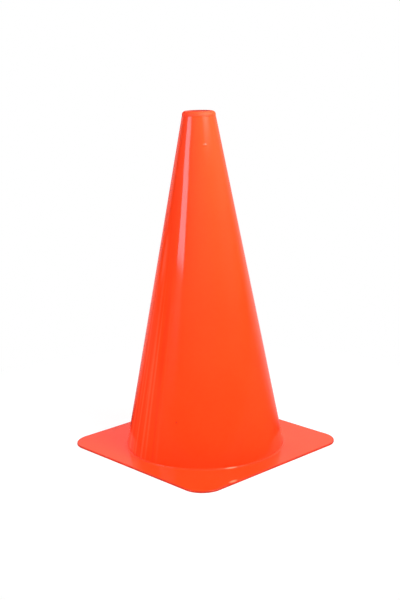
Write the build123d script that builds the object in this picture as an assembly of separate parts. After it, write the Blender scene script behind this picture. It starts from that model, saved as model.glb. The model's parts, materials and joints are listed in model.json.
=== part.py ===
from build123d import *
import math
import os

# Sports marker cone in soft glossy vinyl: a tapered shell, a square base plate dropped over it, and a lip ring
# pushed into the mouth. Millimetres, +Z up, origin at the centre of the underside, plate sides along X and Y.

# Shell
total_height = 381.0  # ground to the top of the lip ring
foot_radius = 91.0  # outside of the shell at ground level
mouth_radius = 18.6  # outside of the shell at its top end
wall_thickness = 2.0  # measured square to the wall
flange_width = 6.0  # foot flange, which carries the base plate
flange_thickness = 1.0

# Base plate
plate_margin = 22.0  # from the shell's foot to the middle of each side
plate_corner_radius = 25.0
plate_thickness = 2.2
plate_top_rounding = 0.8
plate_bottom_rounding = 0.3
plate_clearance = 0.2  # gap between the plate's hole and the shell, and around the flange
bead_radius = 2.5  # quarter-round collar around the hole

# Lip ring
lip_height = 5.0  # visible band above the shell's top end
lip_draft = 0.6  # how much the band narrows toward the top
lip_rounding = 2.6
land_thickness = 3.0  # flat top of the ring, around the hole
land_reach = 3.56  # how far the land reaches in past the spigot
hole_rounding = 0.8
spigot_depth = 10.0  # how far the ring reaches down inside the shell
spigot_wall = 2.4
spigot_clearance = 0.1
snap_height = 0.5  # outward ridge that holds the ring in the mouth
snap_drop = 7.0  # from the joint line down to the ridge
groove = 0.3  # bevel on both sides of the joint line

# Places that follow from the sizes above
joint_height = total_height - lip_height
taper = (foot_radius - mouth_radius) / joint_height
wall_across = wall_thickness * math.sqrt(1.0 + taper * taper)  # the wall measured level
flange_radius = foot_radius + flange_width
plate_side = 2.0 * (foot_radius + plate_margin)
spigot_radius = mouth_radius - wall_across - spigot_clearance
spigot_bore = spigot_radius - spigot_wall
hole_radius = spigot_bore - land_reach
arc_middle = math.sqrt(0.5)  # halfway point of a quarter round of radius one


def shell_outside(height):
    return foot_radius - taper * height


def shell_inside(height):
    return shell_outside(height) - wall_across


def plate_hole(height):
    return shell_outside(height) + plate_clearance


def quarter_round(centre, radius, side):
    across, up = centre
    return ThreePointArc(
        (across + side * radius, up),
        (across + side * radius * arc_middle, up + radius * arc_middle),
        (across, up + radius),
    )


def turned(*lines):
    return revolve(Plane.XZ * make_face(Curve() + list(lines)), Axis.Z)


def make_shell():
    return turned(
        Polyline(
            (shell_inside(0.0), 0.0),
            (flange_radius, 0.0),
            (flange_radius, flange_thickness),
            (shell_outside(flange_thickness), flange_thickness),
            (shell_outside(joint_height - groove), joint_height - groove),
            (mouth_radius - groove, joint_height),
            (shell_inside(joint_height), joint_height),
            close=True,
        )
    )


def make_plate():
    plate = extrude(RectangleRounded(plate_side, plate_side, plate_corner_radius), plate_thickness)
    plate = fillet(plate.edges().group_by(Axis.Z)[-1], plate_top_rounding)
    plate = fillet(plate.edges().group_by(Axis.Z)[0], plate_bottom_rounding)

    # Collar bead, a convex quarter round against the shell
    bead_top = plate_thickness + bead_radius
    bead_crest = plate_hole(bead_top)
    bead_foot = bead_crest + bead_radius
    plate += turned(
        quarter_round((bead_crest, plate_thickness), bead_radius, 1.0),
        Polyline(
            (bead_crest, bead_top),
            (bead_crest - bead_radius, bead_top),
            (bead_crest - bead_radius, flange_thickness),
            (bead_foot, flange_thickness),
            (bead_foot, plate_thickness),
        ),
    )

    # Tapered hole for the shell, and the recess underneath that sits on the foot flange
    above = bead_top + bead_radius
    below = -flange_thickness
    recess_radius = flange_radius + plate_clearance
    plate -= turned(
        Polyline(
            (0.0, below),
            (recess_radius, below),
            (recess_radius, flange_thickness),
            (plate_hole(flange_thickness), flange_thickness),
            (plate_hole(above), above),
            (0.0, above),
            close=True,
        )
    )
    return plate


def make_ring():
    band_radius = mouth_radius - lip_draft
    land_bottom = total_height - land_thickness
    spigot_bottom = joint_height - spigot_depth
    snap_level = joint_height - snap_drop
    hole_edge = hole_radius + hole_rounding
    lip_edge = band_radius - lip_rounding
    return turned(
        Polyline((hole_radius, land_bottom), (hole_radius, total_height - hole_rounding)),
        quarter_round((hole_edge, total_height - hole_rounding), hole_rounding, -1.0),
        Polyline((hole_edge, total_height), (lip_edge, total_height)),
        quarter_round((lip_edge, total_height - lip_rounding), lip_rounding, 1.0),
        Polyline(
            (band_radius, total_height - lip_rounding),
            (mouth_radius, joint_height + groove),
            (mouth_radius - groove, joint_height),
            (spigot_radius, joint_height),
            (spigot_radius, snap_level + snap_height),
            (spigot_radius + snap_height, snap_level),
            (spigot_radius, snap_level - snap_height),
            (spigot_radius, spigot_bottom),
            (spigot_bore, spigot_bottom),
            (spigot_bore, land_bottom),
            (hole_radius, land_bottom),
        ),
    )


os.makedirs("parts", exist_ok=True)
export_step(make_shell(), "parts/cone_shell.step")
export_step(make_plate(), "parts/base_plate.step")
export_step(make_ring(), "parts/lip_ring.step")
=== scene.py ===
import json
import math

import bmesh
import bpy
from mathutils import Matrix, Vector


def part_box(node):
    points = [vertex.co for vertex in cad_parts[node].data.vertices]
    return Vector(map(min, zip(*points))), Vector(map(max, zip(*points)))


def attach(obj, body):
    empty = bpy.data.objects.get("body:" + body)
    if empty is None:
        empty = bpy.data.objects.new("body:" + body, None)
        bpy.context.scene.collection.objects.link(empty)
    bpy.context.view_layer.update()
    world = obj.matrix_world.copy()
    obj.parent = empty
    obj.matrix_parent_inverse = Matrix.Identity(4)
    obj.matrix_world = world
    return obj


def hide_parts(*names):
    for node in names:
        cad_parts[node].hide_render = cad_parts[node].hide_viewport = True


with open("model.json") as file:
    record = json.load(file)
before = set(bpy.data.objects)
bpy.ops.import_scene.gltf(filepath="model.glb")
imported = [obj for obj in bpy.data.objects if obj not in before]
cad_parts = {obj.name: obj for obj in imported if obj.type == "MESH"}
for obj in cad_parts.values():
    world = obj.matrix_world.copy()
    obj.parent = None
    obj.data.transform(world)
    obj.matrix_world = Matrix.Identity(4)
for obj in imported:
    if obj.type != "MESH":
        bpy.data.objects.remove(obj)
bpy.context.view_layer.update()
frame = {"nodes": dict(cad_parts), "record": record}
mm = 0.001
print("frame loaded:", ", ".join(sorted(frame["nodes"])))

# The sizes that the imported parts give
_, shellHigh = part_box("cone_shell")
_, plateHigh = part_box("base_plate")
ringLow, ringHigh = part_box("lip_ring")
boreMount = next(mount for mount in frame["record"]["mounts"] if mount["name"] == "mouth_hole")


def bearingVector(degrees):  # 0 is the side that faces -Y, and +X is at 90
    turn = math.radians(degrees)
    return Vector((math.sin(turn), -math.cos(turn), 0.0))


def spotAt(bearing, out, up):
    spot = bearingVector(bearing) * out
    spot.z = up
    return spot


def addObject(name, data):
    made = bpy.data.objects.new(name, data)
    bpy.context.scene.collection.objects.link(made)
    return made


def picked(values, *keys):
    return {key: values[key] for key in keys}


def inWords(label):  # cloudScale becomes Cloud Scale
    return "".join(" " + letter if letter.isupper() else letter for letter in label).title()


# Node helpers, for shader trees and geometry trees alike
def feed(tree, socket, value):
    if isinstance(value, bpy.types.NodeSocket):
        tree.links.new(value, socket)
    else:
        socket.default_value = value


def feedAll(tree, sockets, values):
    for socket, value in zip(sockets, values):
        feed(tree, socket, value)


def addNode(tree, kind, inputs=None, **settings):
    node = tree.nodes.new(kind)
    for name, value in settings.items():
        setattr(node, name, value)
    for name, value in (inputs or {}).items():
        feed(tree, node.inputs[name], value)
    return node


def maths(tree, operation, *values):
    node = addNode(tree, "ShaderNodeMath", operation=operation)
    feedAll(tree, node.inputs, values)
    return node.outputs[0]


def vectors(tree, operation, *values):
    node = addNode(tree, "ShaderNodeVectorMath", operation=operation)
    feedAll(tree, node.inputs, values)
    return node.outputs["Value" if operation in ("LENGTH", "DOT_PRODUCT") else "Vector"]


def scaled(tree, vector, factor):
    node = addNode(tree, "ShaderNodeVectorMath", {"Vector": vector, "Scale": factor}, operation="SCALE")
    return node.outputs["Vector"]


def ramp(tree, value, start, end, low=0.0, high=1.0):
    node = addNode(tree, "ShaderNodeMapRange", interpolation_type="SMOOTHSTEP")
    feedAll(tree, node.inputs, (value, start, end, low, high))
    return node.outputs[0]


def noise(tree, place, scale, detail, roughness=0.5):
    inputs = {"Vector": place, "Scale": scale, "Detail": detail, "Roughness": roughness}
    return addNode(tree, "ShaderNodeTexNoise", inputs).outputs[0]


def heightOf(tree, place):
    return addNode(tree, "ShaderNodeSeparateXYZ", {"Vector": place}).outputs["Z"]


def levelPart(tree, place):
    return vectors(tree, "MULTIPLY", place, (1.0, 1.0, 0.0))


def fromAxis(tree, place):
    return vectors(tree, "LENGTH", levelPart(tree, place))


def joined(tree, x=0.0, y=0.0, z=0.0):
    return addNode(tree, "ShaderNodeCombineXYZ", {"X": x, "Y": y, "Z": z}).outputs[0]


def gathered(tree, operation, values):
    whole = values[0]
    for value in values[1:]:
        whole = maths(tree, operation, whole, value)
    return whole


def linesAlong(tree, bearing, lines, travelled, stretch):  # where to sample noise for drawn-out lines
    along = joined(tree, z=maths(tree, "MULTIPLY", travelled, stretch))
    return vectors(tree, "ADD", scaled(tree, bearing, lines), along)


def mixColour(tree, share, first, second):
    node = addNode(tree, "ShaderNodeMix", data_type="RGBA")
    feedAll(tree, [node.inputs[number] for number in (0, 6, 7)], (share, first, second))
    return node.outputs[2]


def mixShaders(tree, share, first, second):
    node = addNode(tree, "ShaderNodeMixShader")
    feedAll(tree, node.inputs, (share, first, second))
    return node.outputs[0]


def freshTree(owner):
    owner.use_nodes = True
    owner.node_tree.nodes.clear()
    return owner.node_tree


# Shared finishes, one node group each
finishShape = {
    "grainFiner": 14.0,  # fine tone against the clouds
    "cloudShare": 0.7,
    "grainShare": 0.3,
    "toneRange": (0.32, 0.68),
    "patchScale": 18.0,  # loose patches of hairlines
    "patchSoft": 0.12,
    "hairTurns": ((0.3, 0.1, 0.5), (-0.5, 0.9, 2.1)),
    "hairStretch": (1.0, 1.0, 0.02),
    "hairRange": (0.68, 0.76),
    "speckCore": 0.6,
}


def startGroup(name, inputs, outputs):
    group = bpy.data.node_groups.new(name, "ShaderNodeTree")
    for label, value in inputs.items():
        kind = "NodeSocketFloat"
        if not isinstance(value, float):
            kind = "NodeSocketVector" if len(value) == 3 else "NodeSocketColor"
        socket = group.interface.new_socket(label, in_out="INPUT", socket_type=kind)
        socket.default_value = value
    for label, kind in outputs.items():
        group.interface.new_socket(label, in_out="OUTPUT", socket_type=kind)
    return group, addNode(group, "NodeGroupInput").outputs, addNode(group, "NodeGroupOutput").inputs


def makeToneGroup():  # cloudy pigment, deep to bright
    group, given, result = startGroup(
        "vinylTone",
        {
            "Place": (0.0, 0.0, 0.0),
            "Cloud Scale": 20.0,
            "Deep": (0.9, 0.05, 0.01, 1.0),
            "Bright": (1.0, 0.07, 0.01, 1.0),
        },
        {"Color": "NodeSocketColor", "Tone": "NodeSocketFloat"},
    )
    clouds = noise(group, given["Place"], given["Cloud Scale"], detail=4.0)
    grainScale = maths(group, "MULTIPLY", given["Cloud Scale"], finishShape["grainFiner"])
    grain = noise(group, given["Place"], grainScale, detail=2.0)
    grain = maths(group, "MULTIPLY", grain, finishShape["grainShare"])
    both = maths(group, "MULTIPLY_ADD", clouds, finishShape["cloudShare"], grain)
    tone = ramp(group, both, *finishShape["toneRange"])
    feed(group, result["Color"], mixColour(group, tone, given["Deep"], given["Bright"]))
    feed(group, result["Tone"], tone)
    return group


def makeFlowGroup():  # fine lines that run up the cone and out along the plate
    group, given, result = startGroup(
        "flowLines",
        {"Place": (0.0, 0.0, 0.0), "Lines": 30.0, "Stretch": 3.0},
        {"Height": "NodeSocketFloat"},
    )
    level = levelPart(group, given["Place"])
    bearing = vectors(group, "NORMALIZE", level)
    travelled = maths(group, "ADD", vectors(group, "LENGTH", level), heightOf(group, given["Place"]))
    spot = linesAlong(group, bearing, given["Lines"], travelled, given["Stretch"])
    feed(group, result["Height"], noise(group, spot, 1.0, detail=3.0, roughness=0.6))
    return group


def makeHairlineGroup():  # faint straight scratches, two ways, in loose patches
    group, given, result = startGroup(
        "hairlines",
        {"Place": (0.0, 0.0, 0.0), "Line Scale": 900.0, "Cover": 0.4},
        {"Mask": "NodeSocketFloat"},
    )
    patches = noise(group, given["Place"], finishShape["patchScale"], detail=3.0)
    limit = maths(group, "SUBTRACT", 1.0, given["Cover"])
    patch = ramp(group, patches, limit, maths(group, "ADD", limit, finishShape["patchSoft"]))
    lines = []
    for turn in finishShape["hairTurns"]:
        turned = addNode(group, "ShaderNodeMapping", {"Vector": given["Place"], "Rotation": turn})
        drawnOut = vectors(group, "MULTIPLY", turned.outputs[0], finishShape["hairStretch"])
        grain = noise(group, drawnOut, given["Line Scale"], detail=1.0)
        lines.append(ramp(group, grain, *finishShape["hairRange"]))
    feed(group, result["Mask"], maths(group, "MULTIPLY", gathered(group, "MAXIMUM", lines), patch))
    return group


def makeSpeckGroup():  # stray dark pigment grains
    group, given, result = startGroup(
        "pigmentSpecks",
        {"Place": (0.0, 0.0, 0.0), "Grain Scale": 70.0, "Grain Size": 0.06, "Share": 0.05},
        {"Mask": "NodeSocketFloat"},
    )
    cells = addNode(group, "ShaderNodeTexVoronoi", {"Vector": given["Place"], "Scale": given["Grain Scale"]})
    core = maths(group, "MULTIPLY", given["Grain Size"], finishShape["speckCore"])
    near = ramp(group, cells.outputs["Distance"], core, given["Grain Size"], 1.0, 0.0)
    chance = addNode(group, "ShaderNodeSeparateColor", {"Color": cells.outputs["Color"]}).outputs["Red"]
    chosen = maths(group, "LESS_THAN", chance, given["Share"])
    feed(group, result["Mask"], maths(group, "MULTIPLY", near, chosen))
    return group


def makeSkinGroup():  # the faint orange-peel skin of moulded vinyl
    group, given, result = startGroup(
        "mouldSkin",
        {"Place": (0.0, 0.0, 0.0), "Pebble Scale": 400.0},
        {"Height": "NodeSocketFloat"},
    )
    feed(group, result["Height"], noise(group, given["Place"], given["Pebble Scale"], detail=2.0))
    return group


finishGroups = {
    "tone": makeToneGroup(),
    "flow": makeFlowGroup(),
    "hairlines": makeHairlineGroup(),
    "specks": makeSpeckGroup(),
    "skin": makeSkinGroup(),
}
print("shared finishes made:", ", ".join(finishGroups))


def addFinish(tree, finish, **inputs):
    node = addNode(tree, "ShaderNodeGroup", node_tree=finishGroups[finish])
    for label, value in inputs.items():
        feed(tree, node.inputs[inWords(label)], value)
    return node.outputs


vinylColour = {
    "deep": (0.97, 0.058, 0.009, 1.0),
    "bright": (1.0, 0.064, 0.0105, 1.0),
    "speck": (0.25, 0.02, 0.008, 1.0),
    # pale colour for wear and for painted highlights
    "wearAndHighlight": (0.98, 0.11, 0.045, 1.0),
    # dark colour for grime and for painted shade
    "grimeAndShade": (0.5, 0.04, 0.012, 1.0),
    "holeShade": (0.2, 0.018, 0.008, 1.0),
    "paintedGlint": (1.0, 0.27, 0.15, 1.0),
    # glow and unlit are painted light: the vinyl's own red glow, and its dimmer level where no light reaches
    "glow": (1.0, 0.012, 0.0, 1.0),
    "unlit": (0.2, 0.003, 0.0, 1.0),
}
paintedGlowStrength = 0.26  # painted glow: the vinyl gives off a little red light of its own, as if the pigment were fluorescent, which lifts its shaded side
undersideBlend = (0.1 * mm, 0.4 * mm)
patchCore = 0.3  # how much of a soft patch is at full strength


def underside(tree, place):
    return ramp(tree, heightOf(tree, place), *undersideBlend, 1.0, 0.0)


def softPatch(tree, place, spot, facing, half):  # half sizes across, deep and tall
    away = vectors(tree, "SUBTRACT", place, spot)
    ways = (bearingVector(facing + 90.0), bearingVector(facing), Vector((0.0, 0.0, 1.0)))
    shares = [vectors(tree, "DOT_PRODUCT", away, way / size) for way, size in zip(ways, half)]
    return ramp(tree, vectors(tree, "LENGTH", joined(tree, *shares)), patchCore, 1.0, 1.0, 0.0)


def makeVinyl(name, look, ownMarks, darkSide):  # darkSide masks what daylight never reaches, where the painted glow is dimmed
    material = bpy.data.materials.new(name)
    tree = freshTree(material)
    place = addNode(tree, "ShaderNodeTexCoord").outputs["Object"]
    pigment = picked(vinylColour, "deep", "bright")
    tone = addFinish(tree, "tone", place=place, cloudScale=look["cloudScale"], **pigment)
    flow = addFinish(tree, "flow", place=place, lines=look["flowLines"], stretch=look["flowStretch"])
    hairlines = addFinish(
        tree, "hairlines", place=place, lineScale=look["hairlineScale"], cover=look["hairlineCover"]
    )
    specks = addFinish(
        tree,
        "specks",
        place=place,
        grainScale=look["speckScale"],
        grainSize=look["speckSize"],
        share=look["speckShare"],
    )
    skin = addFinish(tree, "skin", place=place, pebbleScale=look["pebbleScale"])

    rubbing = maths(tree, "MULTIPLY", hairlines["Mask"], look["hairlinePale"])
    colour = mixColour(tree, rubbing, tone["Color"], vinylColour["wearAndHighlight"])
    colour = mixColour(tree, specks["Mask"], colour, vinylColour["speck"])
    for makeMark, paint in ownMarks:
        colour = mixColour(tree, makeMark(tree, place), colour, vinylColour[paint])
    gloss = maths(tree, "MULTIPLY_ADD", flow["Height"], look["flowGloss"], look["roughness"])
    gloss = maths(tree, "MULTIPLY_ADD", tone["Tone"], look["cloudGloss"], gloss)
    gloss = maths(tree, "MULTIPLY_ADD", hairlines["Mask"], look["hairlineGloss"], gloss)
    # painted glow: red light of the vinyl's own, dimmer where no light reaches
    glow = mixColour(tree, darkSide(tree, place), vinylColour["glow"], vinylColour["unlit"])

    bump = {"Height": flow["Height"], "Strength": 1.0, "Distance": look["flowDepth"]}
    flowNormal = addNode(tree, "ShaderNodeBump", bump).outputs[0]
    bump = {"Height": skin["Height"], "Strength": 1.0, "Distance": look["pebbleDepth"], "Normal": flowNormal}
    shader = addNode(
        tree,
        "ShaderNodeBsdfPrincipled",
        {
            "Base Color": colour,
            "Roughness": gloss,
            "Normal": addNode(tree, "ShaderNodeBump", bump).outputs[0],
            "IOR": look["refraction"],
            "Emission Color": glow,
            "Emission Strength": paintedGlowStrength,
        },
    )
    addNode(tree, "ShaderNodeOutputMaterial", {"Surface": shader.outputs[0]})
    return material


# Sections: corners as (out, up, rounding) and the step of the run that follows, where it has its own,
# walked out along the bottom and up the outside
shortRun = 4.0  # a run under this many supports gets no points of its own


def roundedCorner(before, corner, after, rounding, steps):
    if rounding == 0.0:
        return [corner]
    toBefore = (before - corner).normalized()
    toAfter = (after - corner).normalized()
    half = toBefore.angle(toAfter) / 2.0
    middle = corner + (toBefore + toAfter).normalized() * (rounding / math.sin(half))
    setback = rounding / math.tan(half)
    start = corner + toBefore * setback - middle
    end = corner + toAfter * setback - middle
    return [middle + start.slerp(end, step / steps) * rounding for step in range(steps + 1)]


def runBetween(start, end, runStep, support):
    length = (end - start).length
    if length < shortRun * support:
        return []
    count = max(1, round(length / runStep))
    shares = [support / length]
    shares += [step / count for step in range(1, count)]
    shares += [1.0 - support / length]
    return [start.lerp(end, share) for share in shares]


def softSection(corners, arcSteps, runStep, support):
    spots = [Vector(corner[:2]) for corner in corners]
    arcs = []
    for number, corner in enumerate(corners):
        after = spots[(number + 1) % len(spots)]
        arcs.append(roundedCorner(spots[number - 1], spots[number], after, corner[2], arcSteps))
    points = []
    for number, arc in enumerate(arcs):
        points += arc
        step = corners[number][3] if len(corners[number]) > 3 else runStep
        points += runBetween(arc[-1], arcs[(number + 1) % len(arcs)][0], step, support)
    return points


def sectionObject(name, corners, values):
    points = softSection(corners, **picked(values, "arcSteps", "runStep", "support"))
    mesh = bpy.data.meshes.new(name)
    mesh.from_pydata([(point.x, 0.0, point.y) for point in points], [], [])
    return addObject(name, mesh)


# Geometry Nodes: a section carried round the axis
mergeReach = 0.002 * mm
cornerSteps = 32
calmBlend = 3.0  # calm lengths from an end at which the wave is full
nibCore = 0.25  # share of the nib at full height
nibTurn = 0.5  # only faces turned its way by more than this are lifted


def startTree(name, inputs):
    tree = bpy.data.node_groups.new(name, "GeometryNodeTree")
    tree.interface.new_socket("Section", in_out="INPUT", socket_type="NodeSocketGeometry")
    for label, kind in inputs.items():
        tree.interface.new_socket(label, in_out="INPUT", socket_type="NodeSocket" + kind)
    tree.interface.new_socket("Piece", in_out="OUTPUT", socket_type="NodeSocketGeometry")
    return tree, addNode(tree, "NodeGroupInput").outputs, addNode(tree, "NodeGroupOutput").inputs


def changed(tree, kind, mesh, **inputs):  # a node that takes a mesh and gives it back
    node = addNode(tree, "GeometryNode" + kind, {"Geometry": mesh})
    for label, value in inputs.items():
        feed(tree, node.inputs[inWords(label)], value)
    return node.outputs[0]


def herePlace(tree):
    return addNode(tree, "GeometryNodeInputPosition").outputs[0]


def layLattice(tree, section, segments):
    size = addNode(tree, "GeometryNodeAttributeDomainSize", {"Geometry": section}, component="MESH")
    count = size.outputs["Point Count"]
    around = maths(tree, "ADD", segments, 1.0)
    sides = {"Vertices X": maths(tree, "ADD", count, 1.0), "Vertices Y": around}
    lattice = addNode(tree, "GeometryNodeMeshGrid", sides).outputs["Mesh"]
    index = addNode(tree, "GeometryNodeInputIndex").outputs[0]
    row = maths(tree, "FLOOR", maths(tree, "DIVIDE", maths(tree, "ADD", index, 0.5), around))
    column = maths(tree, "SUBTRACT", index, maths(tree, "MULTIPLY", row, around))
    sample = addNode(tree, "GeometryNodeSampleIndex", data_type="FLOAT_VECTOR", domain="POINT")
    feed(tree, sample.inputs["Geometry"], section)
    feed(tree, sample.inputs["Value"], herePlace(tree))
    feed(tree, sample.inputs["Index"], maths(tree, "MODULO", row, count))
    point = addNode(tree, "ShaderNodeSeparateXYZ", {"Vector": sample.outputs[0]}).outputs
    share = maths(tree, "SUBTRACT", 1.0, maths(tree, "DIVIDE", column, segments))
    return lattice, point["X"], point["Z"], share


def waveNoise(tree, given):
    shifted = vectors(tree, "ADD", herePlace(tree), given["Seed"])
    return noise(tree, shifted, given["Wave Scale"], detail=1.0)


def nibLift(tree, place, normal, given):  # a small raised nib on the wall
    away = vectors(tree, "DIVIDE", vectors(tree, "SUBTRACT", place, given["Nib Place"]), given["Nib Size"])
    dome = ramp(tree, vectors(tree, "LENGTH", away), nibCore, 1.0, given["Nib Height"], 0.0)
    facing = vectors(tree, "DOT_PRODUCT", normal, given["Nib Facing"])
    return maths(tree, "MULTIPLY", dome, maths(tree, "GREATER_THAN", facing, nibTurn))


def finishTree(tree, mesh, material, output):
    smooth = changed(tree, "SetShadeSmooth", mesh)
    whole = changed(tree, "RealizeInstances", smooth)
    feed(tree, output, changed(tree, "SetMaterial", whole, material=material))


def makeTurningTree():
    tree, given, result = startTree(
        "turnedVinyl",
        {
            "Segments": "Int",
            "Wave Height": "Float",
            "Wave Scale": "Float",
            "Seed": "Vector",
            "Low End": "Float",
            "High End": "Float",
            "Calm": "Float",
            "Nib Place": "Vector",
            "Nib Size": "Vector",
            "Nib Facing": "Vector",
            "Nib Height": "Float",
            "Material": "Material",
        },
    )
    lattice, out, up, share = layLattice(tree, given["Section"], given["Segments"])
    angle = maths(tree, "MULTIPLY", share, math.tau)
    across = maths(tree, "MULTIPLY", out, maths(tree, "COSINE", angle))
    along = maths(tree, "MULTIPLY", out, maths(tree, "SINE", angle))
    turned = changed(tree, "SetPosition", lattice, position=joined(tree, across, along, up))
    closed = changed(tree, "MergeByDistance", turned, distance=mergeReach)

    # The wall waves a little between its two ends, which stay true
    place = herePlace(tree)
    height = heightOf(tree, place)
    full = maths(tree, "MULTIPLY", given["Calm"], calmBlend)
    fromLow = ramp(tree, maths(tree, "SUBTRACT", height, given["Low End"]), given["Calm"], full)
    fromHigh = ramp(tree, maths(tree, "SUBTRACT", given["High End"], height), given["Calm"], full)
    lift = maths(tree, "SUBTRACT", waveNoise(tree, given), 0.5)
    lift = maths(tree, "MULTIPLY", lift, given["Wave Height"])
    lift = maths(tree, "MULTIPLY", lift, maths(tree, "MULTIPLY", fromLow, fromHigh))
    normal = addNode(tree, "GeometryNodeInputNormal").outputs[0]
    offset = scaled(tree, normal, maths(tree, "ADD", lift, nibLift(tree, place, normal, given)))
    waved = changed(tree, "SetPosition", closed, offset=offset)
    finishTree(tree, waved, given["Material"], result["Piece"])
    return tree


def makePlateTree():
    tree, given, result = startTree(
        "roundToSquarePlate",
        {
            "Segments": "Int",
            "Half Side": "Float",
            "Corner Radius": "Float",
            "Round To": "Float",
            "Square From": "Float",
            "Thickness": "Float",
            "Wave Height": "Float",
            "Wave Scale": "Float",
            "Seed": "Vector",
            "Rim Width": "Float",
            "Material": "Material",
        },
    )
    lattice, out, up, share = layLattice(tree, given["Section"], given["Segments"])

    side = maths(tree, "MULTIPLY", given["Half Side"], 2.0)
    square = addNode(tree, "GeometryNodeCurvePrimitiveQuadrilateral", {"Width": side, "Height": side})
    outline = addNode(
        tree,
        "GeometryNodeFilletCurve",
        {"Curve": square.outputs[0], "Count": cornerSteps, "Radius": given["Corner Radius"]},
        mode="POLY",
    )
    sampled = {"Curves": outline.outputs[0], "Factor": share}
    edge = addNode(tree, "GeometryNodeSampleCurve", sampled, mode="FACTOR").outputs
    outwards = vectors(tree, "CROSS_PRODUCT", edge["Tangent"], (0.0, 0.0, 1.0))
    inset = maths(tree, "SUBTRACT", given["Half Side"], maths(tree, "MAXIMUM", out, given["Square From"]))
    squareSpot = vectors(tree, "SUBTRACT", edge["Position"], scaled(tree, outwards, inset))
    bearing = vectors(tree, "NORMALIZE", edge["Position"])
    roundSpot = scaled(tree, bearing, maths(tree, "MINIMUM", out, given["Round To"]))
    span = maths(tree, "SUBTRACT", given["Square From"], given["Round To"])
    squareness = maths(tree, "DIVIDE", maths(tree, "SUBTRACT", out, given["Round To"]), span)
    between = addNode(tree, "ShaderNodeMix", data_type="VECTOR", clamp_factor=True)
    feedAll(tree, [between.inputs[number] for number in (0, 4, 5)], (squareness, roundSpot, squareSpot))
    spot = vectors(tree, "ADD", between.outputs[1], joined(tree, z=up))
    laid = changed(tree, "SetPosition", lattice, position=spot)
    rimStart = maths(tree, "SUBTRACT", given["Half Side"], given["Rim Width"])
    marked = addNode(
        tree,
        "GeometryNodeStoreNamedAttribute",
        {"Geometry": laid, "Name": "rim", "Value": ramp(tree, out, rimStart, given["Half Side"])},
        data_type="FLOAT",
        domain="POINT",
    )
    closed = changed(tree, "MergeByDistance", marked.outputs[0], distance=mergeReach)

    # The upper skin sinks a little here and there, and the underside stays flat
    upper = maths(tree, "DIVIDE", heightOf(tree, herePlace(tree)), given["Thickness"])
    upperShare = addNode(tree, "ShaderNodeClamp", {"Value": upper}).outputs[0]
    sink = maths(tree, "MULTIPLY", waveNoise(tree, given), given["Wave Height"])
    sink = maths(tree, "MULTIPLY", sink, upperShare)
    waved = changed(tree, "SetPosition", closed, offset=joined(tree, z=maths(tree, "MULTIPLY", sink, -1.0)))
    finishTree(tree, waved, given["Material"], result["Piece"])
    return tree


def growPiece(piece, tree, **values):
    modifier = piece.modifiers.new(tree.name, "NODES")
    modifier.node_group = tree
    identifiers = {item.name: item.identifier for item in tree.interface.items_tree if item.in_out == "INPUT"}
    for label, value in values.items():
        modifier[identifiers[inWords(label)]] = value
    ready = piece.evaluated_get(bpy.context.evaluated_depsgraph_get())
    grown = bpy.data.meshes.new_from_object(ready)
    section = piece.data
    piece.modifiers.clear()
    piece.data = grown
    bpy.data.meshes.remove(section)
    grown.name = piece.name
    print(piece.name, "made,", len(grown.polygons), "faces")


turningTree = makeTurningTree()
plateTree = makePlateTree()

# Cone shell
shell = {
    "wall": 2.0 * mm,
    "flangeWidth": 6.0 * mm,
    "flangeThickness": 1.0 * mm,
    "groove": 0.3 * mm,  # bevel along the joint with the lip ring
    "edgeRounding": 0.3 * mm,
    "innerRounding": 0.15 * mm,
    "segments": 288,
    "arcSteps": 5,
    "runStep": 3.0 * mm,
    "innerRunStep": 24.0 * mm,
    "support": 0.4 * mm,  # how close to an edge the first ring of faces lies
    "waveHeight": 0.08 * mm,
    "waveScale": 16.0,
    "calm": 4.0 * mm,  # straight length at both ends
    "seed": (0.31, 0.07, 0.52),
    "nibBearing": -30.2,
    "nibUp": 346.0 * mm,
    "nibHalfWidth": 3.0 * mm,
    "nibHalfTall": 1.2 * mm,
    "nibHeight": 0.36 * mm,
    "nibRunStep": 0.5 * mm,
    "nibRunReach": 2.4 * mm,  # how far the fine steps go up and down from the nib's middle
}
shellLook = {
    "roughness": 0.045,
    "refraction": 1.5,
    "cloudScale": 16.0,
    "cloudGloss": 0.015,
    "flowLines": 26.0,
    "flowStretch": 4.0,
    "flowGloss": 0.03,
    "flowDepth": 0.012 * mm,
    "hairlineScale": 900.0,
    "hairlineCover": 0.42,
    "hairlinePale": 0.08,
    "hairlineGloss": 0.06,
    "speckScale": 60.0,
    "speckSize": 0.035,
    "speckShare": 0.02,
    "pebbleScale": 450.0,
    "pebbleDepth": 0.002 * mm,
}
shellMarks = {
    "streakBearing": -101.0,  # pale and dark lines low on one side
    "streakSpread": 24.0,
    "streakCore": 0.5,  # share of that spread at full strength
    "streakTop": 300.0 * mm,
    "streakFade": 0.4,  # share of that height from which streaks fade
    "streakLines": 15.0,
    "streakStretch": 3.0,
    "streakRange": (0.5, 0.62),
    "streakShare": 0.6,
    "darkLineRange": (0.46, 0.36),
    "darkLineShare": 0.5,
    "grainBearing": -66.1,  # one larger grain of dark pigment
    "grainUp": 51.0 * mm,
    "grainSize": 1.5 * mm,
    "grainShare": 0.85,
    "paleLineBearing": -100.9,  # one faint pale line
    "paleLineUp": 222.0 * mm,
    "paleLineHalf": (4.0 * mm, 14.0 * mm, 40.0 * mm),  # across, deep and tall
    "paleLineShare": 0.95,
    "insideBlend": (0.2, 0.8),  # shares of the wall
}

jointHeight = shellHigh.z
mouthRadius = ringHigh.x
footRadius = shellHigh.x - shell["flangeWidth"]
taper = (footRadius - mouthRadius) / jointHeight
wallAcross = shell["wall"] * math.hypot(1.0, taper)
nibHalf = (shell["nibHalfWidth"], shell["nibHalfWidth"], shell["nibHalfTall"])


def shellOutside(height):
    return footRadius - taper * height


def onShell(bearing, height):
    return spotAt(bearing, shellOutside(height), height)


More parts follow.
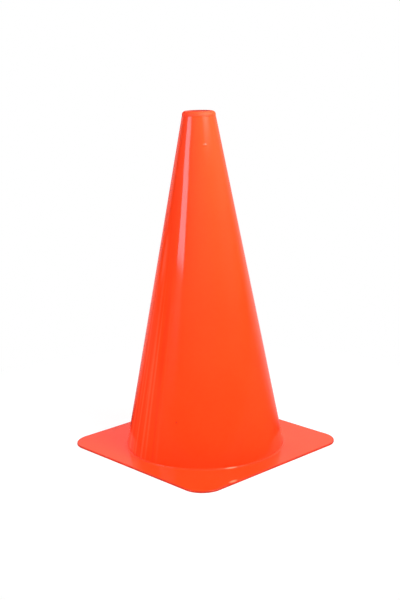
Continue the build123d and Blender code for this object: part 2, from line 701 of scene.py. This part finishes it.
def drawnLines(tree, place, lineRange, share):
    bearing = vectors(tree, "NORMALIZE", levelPart(tree, place))
    height = heightOf(tree, place)
    facing = vectors(tree, "DOT_PRODUCT", bearing, bearingVector(shellMarks["streakBearing"]))
    spread = math.radians(shellMarks["streakSpread"])
    sector = ramp(tree, facing, math.cos(spread), math.cos(shellMarks["streakCore"] * spread))
    top = shellMarks["streakTop"]
    lower = ramp(tree, height, shellMarks["streakFade"] * top, top, 1.0, 0.0)
    spot = linesAlong(tree, bearing, shellMarks["streakLines"], height, shellMarks["streakStretch"])
    streak = ramp(tree, noise(tree, spot, 1.0, detail=2.0), *lineRange)
    streak = maths(tree, "MULTIPLY", streak, maths(tree, "MULTIPLY", sector, lower))
    return maths(tree, "MULTIPLY", streak, share)


def shellStreaks(tree, place):
    return drawnLines(tree, place, shellMarks["streakRange"], shellMarks["streakShare"])


def shellDarkLines(tree, place):
    return drawnLines(tree, place, shellMarks["darkLineRange"], shellMarks["darkLineShare"])


def shellGrain(tree, place):
    away = vectors(tree, "SUBTRACT", place, onShell(shellMarks["grainBearing"], shellMarks["grainUp"]))
    size = shellMarks["grainSize"]
    return ramp(tree, vectors(tree, "LENGTH", away), patchCore * size, size, shellMarks["grainShare"], 0.0)


def shellPaleLine(tree, place):
    bearing = shellMarks["paleLineBearing"]
    patch = softPatch(tree, place, onShell(bearing, shellMarks["paleLineUp"]), bearing, shellMarks["paleLineHalf"])
    return maths(tree, "MULTIPLY", patch, shellMarks["paleLineShare"])


# painted highlight over the nib
def nibHighlight(tree, place):
    bearing = shell["nibBearing"]
    return softPatch(tree, place, onShell(bearing, shell["nibUp"]), bearing, nibHalf)


def shellInside(tree, place):
    outside = maths(tree, "MULTIPLY_ADD", heightOf(tree, place), -taper, footRadius)
    depth = maths(tree, "SUBTRACT", outside, fromAxis(tree, place))
    start, end = shellMarks["insideBlend"]
    within = ramp(tree, depth, start * wallAcross, end * wallAcross)
    return maths(tree, "MAXIMUM", within, underside(tree, place))


shellPaints = [
    (shellStreaks, "wearAndHighlight"),
    (shellDarkLines, "grimeAndShade"),
    (shellPaleLine, "wearAndHighlight"),
    (nibHighlight, "wearAndHighlight"),
    (shellGrain, "speck"),
]


def makeShell():
    grooveFoot = jointHeight - shell["groove"]
    flangeTop = shell["flangeThickness"]
    soft = shell["edgeRounding"]
    fine = shell["innerRounding"]
    nibFoot = shell["nibUp"] - shell["nibRunReach"]
    nibTop = shell["nibUp"] + shell["nibRunReach"]
    corners = [
        (footRadius - wallAcross, 0.0, soft),
        (shellHigh.x, 0.0, soft),
        (shellHigh.x, flangeTop, soft),
        (shellOutside(flangeTop), flangeTop, fine),
        (shellOutside(nibFoot), nibFoot, 0.0, shell["nibRunStep"]),
        (shellOutside(nibTop), nibTop, 0.0),
        (shellOutside(grooveFoot), grooveFoot, fine),
        (mouthRadius - shell["groove"], jointHeight, fine),
        (mouthRadius - wallAcross, jointHeight, fine, shell["innerRunStep"]),
    ]
    piece = sectionObject("coneShell", corners, shell)
    growPiece(
        piece,
        turningTree,
        **picked(shell, "segments", "waveHeight", "waveScale", "seed", "calm", "nibHeight"),
        lowEnd=0.0,
        highEnd=jointHeight,
        nibPlace=onShell(shell["nibBearing"], shell["nibUp"]),
        nibSize=nibHalf,
        nibFacing=bearingVector(shell["nibBearing"]),
        material=makeVinyl("shellVinyl", shellLook, shellPaints, shellInside),
    )
    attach(piece, "cone")
    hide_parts("cone_shell")


makeShell()

# Base plate
plate = {
    "thickness": 2.2 * mm,
    "cornerRadius": 25.0 * mm,
    "topRounding": 0.8 * mm,
    "bottomRounding": 0.3 * mm,
    "clearance": 0.2 * mm,
    "crestRounding": 0.2 * mm,
    "collarWidth": 1.9 * mm,  # low collar round the shell's foot
    "collarHeight": 1.0 * mm,
    "collarRounding": 0.5 * mm,
    "collarGap": 0.06 * mm,
    "roundTo": 97.5 * mm,  # circles as far out as this, the rounded square from squareFrom on
    "squareFrom": 108.5 * mm,
    "segments": 640,
    "arcSteps": 7,
    "runStep": 1.6 * mm,
    "support": 0.2 * mm,
    "waveHeight": 0.08 * mm,
    "waveScale": 14.0,
    "seed": (0.83, 0.41, 0.0),
    "rimWidth": 2.2 * mm,
    "rimShadeScale": 120.0,
    "rimShadeRange": (0.2, 0.6, 0.75, 1.0),  # from and to which noise level, and the painted shade there
}
plateLook = {
    "roughness": 0.05,
    "refraction": 1.5,
    "cloudScale": 18.0,
    "cloudGloss": 0.02,
    "flowLines": 20.0,
    "flowStretch": 10.0,
    "flowGloss": 0.03,
    "flowDepth": 0.012 * mm,
    "hairlineScale": 700.0,
    "hairlineCover": 0.46,
    "hairlinePale": 0.15,
    "hairlineGloss": 0.1,
    "speckScale": 70.0,
    "speckSize": 0.035,
    "speckShare": 0.03,
    "pebbleScale": 450.0,
    "pebbleDepth": 0.003 * mm,
}
plateGlints = (  # painted glints, pale patches where light catches the collar and the plate's edge, and the way each faces
    {
        "bearing": -26.2,
        "out": 92.5 * mm,
        "up": 2.8 * mm,
        "facing": -26.2,
        "half": (9.5 * mm, 1.5 * mm, 1.3 * mm),
    },
    {
        "bearing": -30.6,
        "out": 127.8 * mm,
        "up": 2.2 * mm,
        "facing": 0.0,
        "half": (7.5 * mm, 3.2 * mm, 2.6 * mm),
    },
)


def plateGlint(tree, place):
    masks = []
    for glint in plateGlints:
        spot = spotAt(glint["bearing"], glint["out"], glint["up"])
        masks.append(softPatch(tree, place, spot, glint["facing"], glint["half"]))
    return gathered(tree, "MAXIMUM", masks)


def plateRimShade(tree, place):  # painted shade along the outer edge, broken up by noise
    rim = addNode(tree, "ShaderNodeAttribute", attribute_name="rim").outputs["Fac"]
    shadeBreakup = noise(tree, place, plate["rimShadeScale"], detail=3.0)
    return maths(tree, "MULTIPLY", rim, ramp(tree, shadeBreakup, *plate["rimShadeRange"]))


platePaints = [(plateRimShade, "grimeAndShade"), (plateGlint, "paintedGlint")]


def makePlate():
    halfSide = plateHigh.x
    flangeTop = shell["flangeThickness"]
    recess = shellHigh.x + plate["clearance"]
    top = plate["thickness"]
    collarTop = top + plate["collarHeight"]
    collarCrest = shellOutside(collarTop) + plate["collarGap"]
    collarFoot = collarCrest + plate["collarWidth"]
    crest = plate["crestRounding"]
    corners = [
        (shellOutside(flangeTop) + plate["clearance"], flangeTop, crest),
        (recess, flangeTop, crest),
        (recess, 0.0, crest),
        (halfSide, 0.0, plate["bottomRounding"]),
        (halfSide, top, plate["topRounding"]),
        (collarFoot, top, plate["collarRounding"]),
        (collarFoot, collarTop, plate["collarRounding"]),
        (collarCrest, collarTop, crest),
    ]
    piece = sectionObject("basePlate", corners, plate)
    growPiece(
        piece,
        plateTree,
        **picked(plate, "segments", "cornerRadius", "roundTo", "squareFrom", "thickness"),
        **picked(plate, "waveHeight", "waveScale", "seed", "rimWidth"),
        halfSide=halfSide,
        material=makeVinyl("plateVinyl", plateLook, platePaints, underside),
    )
    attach(piece, "base")
    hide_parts("base_plate")


makePlate()

# Lip ring
ring = {
    "groove": 0.3 * mm,
    "lipDraft": 0.1 * mm,
    "lipRounding": 4.2 * mm,
    "crestRounding": 0.6 * mm,
    "dishWidth": 3.0 * mm,  # slope from the crest into the hole
    "dishDepth": 1.7 * mm,
    "holeRounding": 0.6 * mm,
    "landThickness": 3.0 * mm,
    "spigotClearance": 0.1 * mm,
    "spigotWall": 2.4 * mm,
    "snapHeight": 0.5 * mm,
    "snapDrop": 7.0 * mm,
    "edgeRounding": 0.15 * mm,
    "segments": 192,
    "arcSteps": 8,
    "runStep": 1.5 * mm,
    "support": 0.1 * mm,
    "waveHeight": 0.04 * mm,
    "waveScale": 60.0,
    "calm": 0.8 * mm,
    "seed": (0.12, 0.66, 0.24),
    "boreShade": 0.95,
    "boreBlend": 1.0 * mm,  # width over which the painted shade of the hole passes into the rim
    "rimHighlight": 0.08,
    "rimHighlightDepth": (2.2 * mm, 1.0 * mm),  # below the top, where the painted highlight starts and is full
    "unlitDepth": (3.0 * mm, 0.5 * mm),  # below the joint, where light is gone and where it is full
}
ringLook = dict(shellLook, roughness=0.6, flowLines=14.0, pebbleDepth=0.003 * mm, hairlineCover=0.5)
holeRadius = boreMount["dims"]["r_mm"] * mm
lipRadius = mouthRadius - ring["lipDraft"]
crestRadius = holeRadius + ring["dishWidth"]


def fromBore(tree, place, low, high):
    return ramp(tree, fromAxis(tree, place), crestRadius, crestRadius + ring["boreBlend"], low, high)


def ringBoreShade(tree, place):  # painted shade in the hole, where light hardly reaches
    return fromBore(tree, place, ring["boreShade"], 0.0)


def ringRimHighlight(tree, place):  # painted highlight: the rim's upper rounding made paler, as worn vinyl
    start, full = (ringHigh.z - depth for depth in ring["rimHighlightDepth"])
    upper = ramp(tree, heightOf(tree, place), start, full, 0.0, ring["rimHighlight"])
    return maths(tree, "MULTIPLY", upper, fromBore(tree, place, 0.0, 1.0))


def ringDeep(tree, place):
    start, full = (jointHeight - depth for depth in ring["unlitDepth"])
    return ramp(tree, heightOf(tree, place), start, full, 1.0, 0.0)


ringPaints = [(ringRimHighlight, "wearAndHighlight"), (ringBoreShade, "holeShade")]


def makeRing():
    top = ringHigh.z
    bottom = ringLow.z
    spigotRadius = mouthRadius - wallAcross - ring["spigotClearance"]
    spigotBore = spigotRadius - ring["spigotWall"]
    landBottom = top - ring["landThickness"]
    snap = jointHeight - ring["snapDrop"]
    snapHeight = ring["snapHeight"]
    soft = ring["edgeRounding"]
    corners = [
        (spigotBore, bottom, soft),
        (spigotRadius, bottom, soft),
        (spigotRadius, snap - snapHeight, 0.0),
        (spigotRadius + snapHeight, snap, soft),
        (spigotRadius, snap + snapHeight, 0.0),
        (spigotRadius, jointHeight, soft),
        (mouthRadius - ring["groove"], jointHeight, soft),
        (mouthRadius, jointHeight + ring["groove"], soft),
        (lipRadius, top - ring["lipRounding"], 0.0),
        (lipRadius, top, ring["lipRounding"] - soft),
        (crestRadius, top, ring["crestRounding"]),
        (holeRadius, top - ring["dishDepth"], ring["holeRounding"]),
        (holeRadius, landBottom, soft),
        (spigotBore, landBottom, soft),
    ]
    piece = sectionObject("lipRing", corners, ring)
    growPiece(
        piece,
        turningTree,
        **picked(ring, "segments", "waveHeight", "waveScale", "seed", "calm"),
        lowEnd=bottom,
        highEnd=top,
        nibPlace=(0.0, 0.0, 0.0),  # no nib here
        nibSize=(mm, mm, mm),
        nibFacing=(0.0, 0.0, 1.0),
        nibHeight=0.0,
        material=makeVinyl("ringVinyl", ringLook, ringPaints, ringDeep),
    )
    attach(piece, "cone")
    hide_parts("lip_ring")


makeRing()

# Camera, at the photograph's viewing angle
cameraView = {
    "bearing": -43.41,  # degrees round the cone, where 0 looks along +Y
    "elevation": 13.24,
    "roll": -1.16,
    "distance": 1265.8 * mm,
    "aside": -6.1 * mm,
    "lift": 165.2 * mm,
    "lens": 65.13,
    "sensorWidth": 36.0,
    "clipStart": 10.0 * mm,
}


def aimCamera():
    rise = math.radians(cameraView["elevation"])
    roll = math.radians(cameraView["roll"])
    towards = bearingVector(cameraView["bearing"])
    right = bearingVector(cameraView["bearing"] + 90.0)
    upright = Vector((0.0, 0.0, 1.0))
    back = towards * math.cos(rise) + upright * math.sin(rise)
    up = upright * math.cos(rise) - towards * math.sin(rise)
    rolledRight = right * math.cos(roll) + up * math.sin(roll)
    rolledUp = up * math.cos(roll) - right * math.sin(roll)
    lens = bpy.data.cameras.new("photoCamera")
    lens.lens = cameraView["lens"]
    lens.sensor_width = cameraView["sensorWidth"]
    lens.clip_start = cameraView["clipStart"]
    camera = addObject("photoCamera", lens)
    stance = Matrix((rolledRight, rolledUp, back)).transposed().to_4x4()
    stance.translation = (
        back * cameraView["distance"] + rolledRight * cameraView["aside"] + rolledUp * cameraView["lift"]
    )
    camera.matrix_world = stance
    bpy.context.scene.camera = camera


aimCamera()
print("camera set")

# Studio: lamps placed by their bearing from the camera, to the right in the picture counted positive
lamps = {
    "leftPanel": {
        "bearing": -65.6,
        "distance": 1500.0 * mm,
        "height": 1055.0 * mm,
        "aimHeight": 1055.0 * mm,
        "width": 830.0 * mm,
        "tall": 1290.0 * mm,
        "power": 9.8,
        "softEdges": (0.02, 0.02, 0.02, 0.05),  # left, right, bottom, top, as shares of the panel
    },
    "leftPanelMirrored": {  # the same panel as the gloss shows it
        "bearing": -63.0,
        "distance": 1490.0 * mm,
        "height": 1030.0 * mm,
        "aimHeight": 1030.0 * mm,
        "width": 825.0 * mm,
        "tall": 1320.0 * mm,
        "power": 14.65,
        "tint": (0.93, 0.92, 1.16),
        "softEdges": (0.02, 0.02, 0.05, 0.9),
        "leftSlant": (0.08, 0.28, 0.36, 0.0),  # from and to which height, and how far in the edge is there
        "rightSlant": (0.21, 0.27, 0.0, 0.1),
        "footSlant": (0.3, 1.0, 0.002, 0.018),  # the same for the lower edge, from left to right
    },
    "leftTailMirrored": {  # faint light below the panel
        "bearing": -58.0,
        "distance": 1480.0 * mm,
        "height": 275.0 * mm,
        "aimHeight": 275.0 * mm,
        "width": 620.0 * mm,
        "tall": 290.0 * mm,
        "power": 0.15,
        "softEdges": (0.4, 0.3, 0.8, 0.05),
    },
    "leftCardMirrored": {
        "bearing": -134.0,
        "distance": 1400.0 * mm,
        "height": 605.0 * mm,
        "aimHeight": 605.0 * mm,
        "width": 780.0 * mm,
        "tall": 800.0 * mm,
        "power": 0.75,
        "softEdges": (0.2, 0.3, 0.12, 0.1),
    },
    "rightSoftbox": {
        "bearing": 50.0,
        "distance": 470.0 * mm,
        "height": 680.0 * mm,
        "aimHeight": 320.0 * mm,
        "width": 460.0 * mm,
        "tall": 420.0 * mm,
        "power": 15.4,
        "softEdges": (0.3, 0.3, 0.3, 0.3),
    },
    "rightSoftboxMirrored": {
        "bearing": 47.0,
        "distance": 460.0 * mm,
        "height": 665.0 * mm,
        "aimHeight": 340.0 * mm,
        "width": 620.0 * mm,
        "tall": 500.0 * mm,
        "power": 10.0,
        "tint": (1.0, 0.97, 0.9),
        "softEdges": (0.5, 0.45, 0.55, 0.4),
    },
    "leftCard": {
        "bearing": -60.0,
        "distance": 500.0 * mm,
        "height": 150.0 * mm,
        "aimHeight": 20.0 * mm,
        "width": 300.0 * mm,
        "tall": 200.0 * mm,
        "power": 1.25,
        "softEdges": (0.3, 0.3, 0.3, 0.3),
    },
    "backPanel": {
        "bearing": 180.0,
        "distance": 1500.0 * mm,
        "height": 900.0 * mm,
        "aimHeight": 200.0 * mm,
        "width": 1400.0 * mm,
        "tall": 900.0 * mm,
        "power": 29.0,
        "softEdges": (0.2, 0.2, 0.2, 0.2),
    },
}


def panelMask(tree, lamp):
    spot = addNode(tree, "ShaderNodeNewGeometry").outputs["Parametric"]
    panel = addNode(tree, "ShaderNodeSeparateXYZ", {"Vector": spot}).outputs
    left, right, bottom, top = lamp["softEdges"]
    leftSpot = panel["X"]
    rightSpot = panel["X"]
    footSpot = panel["Y"]
    if "leftSlant" in lamp:
        leftSpot = maths(tree, "SUBTRACT", leftSpot, ramp(tree, panel["Y"], *lamp["leftSlant"]))
    if "rightSlant" in lamp:
        rightSpot = maths(tree, "ADD", rightSpot, ramp(tree, panel["Y"], *lamp["rightSlant"]))
    if "footSlant" in lamp:
        footSpot = maths(tree, "SUBTRACT", footSpot, ramp(tree, panel["X"], *lamp["footSlant"]))
    across = ramp(tree, rightSpot, 1.0 - right, 1.0, 1.0, 0.0)
    across = maths(tree, "MULTIPLY", ramp(tree, leftSpot, 0.0, left), across)
    upwards = ramp(tree, panel["Y"], 1.0 - top, 1.0, 1.0, 0.0)
    upwards = maths(tree, "MULTIPLY", ramp(tree, footSpot, 0.0, bottom), upwards)
    return maths(tree, "MULTIPLY", across, upwards)


def hangLamp(name, lamp):  # a lamp either lights the vinyl or is seen mirrored in it
    mirrored = name.endswith("Mirrored")
    light = bpy.data.lights.new(name, "AREA")
    light.shape = "RECTANGLE"
    light.size = lamp["width"]
    light.size_y = lamp["tall"]
    light.energy = lamp["power"]
    light.color = lamp.get("tint", (1.0, 1.0, 1.0))
    light.use_nodes = True
    tree = light.node_tree
    glow = next(node for node in tree.nodes if node.type == "EMISSION")
    feed(tree, glow.inputs["Strength"], panelMask(tree, lamp))
    hung = addObject(name, light)
    place = spotAt(cameraView["bearing"] + lamp["bearing"], lamp["distance"], lamp["height"])
    towards = (Vector((0.0, 0.0, lamp["aimHeight"])) - place).normalized()
    hung.location = place
    hung.rotation_mode = "QUATERNION"
    hung.rotation_quaternion = towards.to_track_quat("-Z", "Y")
    hung.visible_camera = False
    hung.visible_diffuse = not mirrored
    hung.visible_glossy = mirrored


for lampName, lampValues in lamps.items():
    hangLamp(lampName, lampValues)

room = {
    "ambient": 0.06,
    "mirroredLow": 0.02,  # what gloss shows at the horizon
    "mirroredHigh": 0.5,  # and overhead
    "mirroredRise": 0.36,  # how far up the dim lower part reaches
    "mirroredWalls": {  # pale walls: bearing, level, and the cosine at which each one ends
        "right": (160.0, 0.43, 0.62),
        "left": (-160.0, 0.3, 0.85),
    },
    "wallsFade": (0.08, 0.2),  # how far up the walls start to fade and are gone
    "mirroredSide": (112.0, 0.26, 0.3),  # light side, above the horizon: bearing, level, cosine at its end
    "sideRise": (-0.05, 0.16),
}
whiteColour = (1.0, 1.0, 1.0, 1.0)
blackColour = (0.0, 0.0, 0.0, 1.0)


def facingFrom(tree, direction, bearing):
    return vectors(tree, "DOT_PRODUCT", direction, bearingVector(cameraView["bearing"] + bearing))


def paleWalls(tree, direction):  # what gloss shows of the walls around the object
    walls = []
    for bearing, glow, ends in room["mirroredWalls"].values():
        walls.append(ramp(tree, facingFrom(tree, direction, bearing), ends, 1.0, 0.0, glow))
    return gathered(tree, "ADD", walls)


def glowing(tree, kind, level):
    return addNode(tree, kind, {"Color": whiteColour, "Strength": level}).outputs[0]


def lightRoom():
    world = bpy.data.worlds.new("studioRoom")
    bpy.context.scene.world = world
    tree = freshTree(world)
    rays = addNode(tree, "ShaderNodeLightPath").outputs
    direction = addNode(tree, "ShaderNodeTexCoord").outputs["Generated"]
    height = heightOf(tree, direction)
    level = ramp(tree, height, 0.0, room["mirroredRise"], room["mirroredLow"], room["mirroredHigh"])
    low = ramp(tree, height, *room["wallsFade"], 1.0, 0.0)
    level = maths(tree, "MULTIPLY_ADD", paleWalls(tree, direction), low, level)
    bearing, glow, ends = room["mirroredSide"]
    side = ramp(tree, height, *room["sideRise"], 0.0, glow)
    facing = ramp(tree, facingFrom(tree, direction, bearing), ends, 1.0)
    level = maths(tree, "MULTIPLY_ADD", facing, side, level)
    mirrored = glowing(tree, "ShaderNodeBackground", level)
    ambient = glowing(tree, "ShaderNodeBackground", room["ambient"])
    white = glowing(tree, "ShaderNodeBackground", 1.0)
    inside = mixShaders(tree, rays["Is Glossy Ray"], ambient, mirrored)
    seen = maths(tree, "MAXIMUM", rays["Is Camera Ray"], rays["Is Transmission Ray"])
    addNode(tree, "ShaderNodeOutputWorld", {"Surface": mixShaders(tree, seen, inside, white)})


lightRoom()

floor = {
    "radius": 4000.0 * mm,
    "segments": 64,
    "drop": 0.2 * mm,
    "colour": (0.8, 0.8, 0.8, 1.0),
    "shadowReach": 420.0 * mm,
    "shadowCore": 0.5,  # share of that reach with the full shadow
    "ownWhite": 0.85,  # white that the camera always sees there, and the light on the floor adds the rest
    "shadowShare": 0.3,
    "mirrorNear": 0.03,  # what gloss shows of the floor
    "mirrorFar": 0.1,
    "mirrorReach": 1600.0 * mm,
    "wallsFrom": 104.0 * mm,  # how far out the floor starts to mirror the pale walls
    "wallsFull": 130.0 * mm,
}


def layFloor():
    mesh = bpy.data.meshes.new("paleFloor")
    sheet = bmesh.new()
    bmesh.ops.create_circle(sheet, cap_ends=True, segments=floor["segments"], radius=floor["radius"])
    bmesh.ops.translate(sheet, verts=sheet.verts, vec=(0.0, 0.0, -floor["drop"]))
    sheet.to_mesh(mesh)
    sheet.free()
    piece = addObject("paleFloor", mesh)
    material = bpy.data.materials.new("paleFloor")
    tree = freshTree(material)
    rays = addNode(tree, "ShaderNodeLightPath").outputs
    place = addNode(tree, "ShaderNodeTexCoord").outputs["Object"]
    reach = vectors(tree, "LENGTH", place)

    # What the camera sees: white, with a soft shadow near the object
    far = ramp(tree, reach, floor["shadowCore"] * floor["shadowReach"], floor["shadowReach"])
    ownLevel = maths(tree, "MULTIPLY_ADD", far, 1.0 - floor["ownWhite"], floor["ownWhite"])
    share = maths(tree, "MULTIPLY_ADD", far, -floor["shadowShare"], floor["shadowShare"])
    matt = addNode(tree, "ShaderNodeBsdfDiffuse", {"Color": floor["colour"]}).outputs[0]
    black = addNode(tree, "ShaderNodeBsdfDiffuse", {"Color": blackColour}).outputs[0]
    white = glowing(tree, "ShaderNodeEmission", ownLevel)
    seen = addNode(tree, "ShaderNodeAddShader")
    feedAll(tree, seen.inputs, (white, mixShaders(tree, share, black, matt)))

    # What gloss shows: a dim floor that passes into the pale walls
    mirrorLevel = ramp(tree, reach, 0.0, floor["mirrorReach"], floor["mirrorNear"], floor["mirrorFar"])
    away = ramp(tree, reach, floor["wallsFrom"], floor["wallsFull"])
    walls = paleWalls(tree, vectors(tree, "NORMALIZE", place))
    mirrored = glowing(tree, "ShaderNodeEmission", maths(tree, "MULTIPLY_ADD", walls, away, mirrorLevel))

    other = mixShaders(tree, rays["Is Glossy Ray"], matt, mirrored)
    direct = maths(tree, "MAXIMUM", rays["Is Camera Ray"], rays["Is Transmission Ray"])
    whole = mixShaders(tree, direct, other, seen.outputs[0])
    below = addNode(tree, "ShaderNodeNewGeometry").outputs["Backfacing"]
    clear = addNode(tree, "ShaderNodeBsdfTransparent").outputs[0]
    addNode(tree, "ShaderNodeOutputMaterial", {"Surface": mixShaders(tree, below, whole, clear)})
    mesh.materials.append(material)


layFloor()
bpy.context.scene.view_settings.view_transform = "Standard"
print("studio lit")
